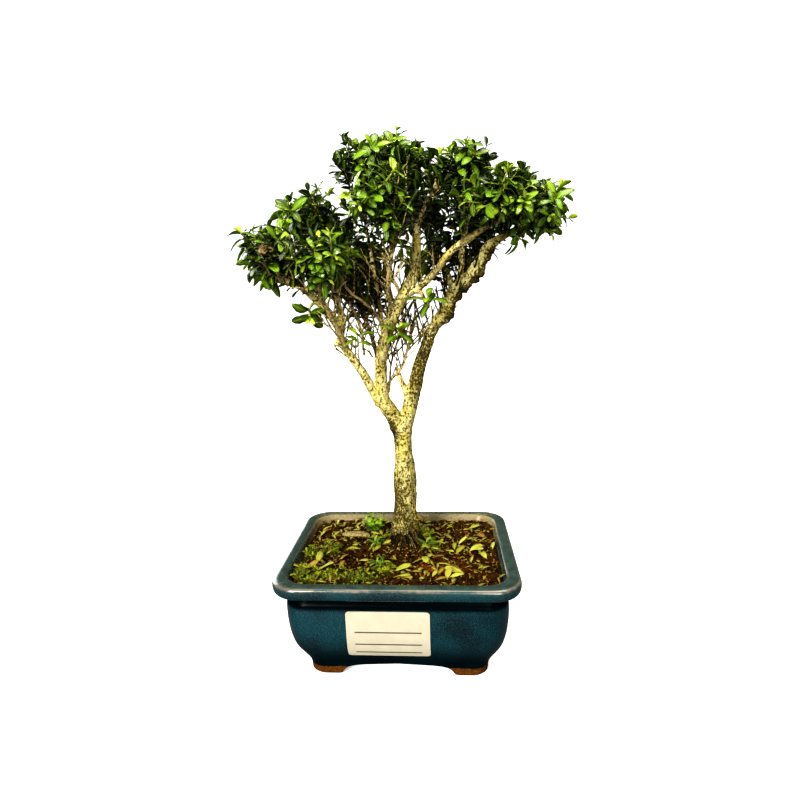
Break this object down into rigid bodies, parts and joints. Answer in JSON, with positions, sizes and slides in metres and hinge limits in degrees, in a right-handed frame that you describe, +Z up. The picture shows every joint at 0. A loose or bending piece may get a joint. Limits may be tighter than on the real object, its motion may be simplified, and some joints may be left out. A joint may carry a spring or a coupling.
{
  "type": "serissa bonsai in a pot",
  "caption": "Small serissa bonsai with a forked pale trunk and a wide leafy crown, in a blue-green glazed rectangular footed pot with soil, a plain label and drain holes.",
  "frame": {"origin": "middle of the whole object's box, on the surface that the pot stands on", "axes": "+Z up, the pot's front with the label faces -Y, +X to the right seen from the front"},
  "size_m": [0.2102, 0.1394, 0.3347],
  "materials": {
    "glazed_stoneware": "opaque glossy blue-green glaze with fine speckles over brown stoneware, bare brown clay on the feet",
    "drain_mesh": "dull black plastic mesh",
    "soil": "dark crumbly potting soil with moss and fallen leaves",
    "label_paper": "cream coated paper sticker with plain ruled lines",
    "bark": "pale yellow-tan flaking bark with dark olive-brown flakes",
    "leaf": "small glossy leaves, dark green, yellow-green at the shoot tips",
    "weed_leaf": "soft light green leaves",
    "dry_bark": "dry tan bark chip",
    "fallen_leaf": "dry yellow-green leaves"
  },
  "bodies": {
    "root": {"pot": "glazed_stoneware", "drain_screen_left": "drain_mesh", "drain_screen_right": "drain_mesh", "soil": "soil", "label": "label_paper", "tree_wood": "bark", "spray_01": "leaf", "spray_02": "leaf", "spray_03": "leaf", "spray_04": "leaf", "spray_05": "leaf", "spray_06": "leaf", "spray_07": "leaf", "spray_08": "leaf", "spray_09": "leaf", "spray_10": "leaf", "spray_11": "leaf", "spray_12": "leaf", "spray_13": "leaf", "spray_14": "leaf", "spray_15": "leaf", "spray_16": "leaf", "spray_17": "leaf", "spray_18": "leaf", "spray_19": "leaf", "spray_20": "leaf", "spray_21": "leaf", "spray_22": "leaf", "spray_23": "leaf", "spray_24": "leaf", "spray_25": "leaf", "spray_26": "leaf", "spray_27": "leaf", "spray_28": "leaf", "spray_29": "leaf", "spray_30": "leaf", "spray_31": "leaf", "spray_32": "leaf", "spray_33": "leaf", "spray_34": "leaf", "spray_35": "leaf", "spray_36": "leaf", "spray_37": "leaf", "spray_38": "leaf", "spray_39": "leaf", "spray_40": "leaf", "spray_41": "leaf", "spray_42": "leaf", "spray_43": "leaf", "spray_44": "leaf", "spray_45": "leaf", "spray_46": "leaf", "spray_47": "leaf", "spray_48": "leaf", "weed": "weed_leaf", "bark_chip": "dry_bark", "fallen_leaf_01": "fallen_leaf", "fallen_leaf_02": "fallen_leaf", "fallen_leaf_03": "fallen_leaf", "fallen_leaf_04": "fallen_leaf"}
  },
  "joints": []
}
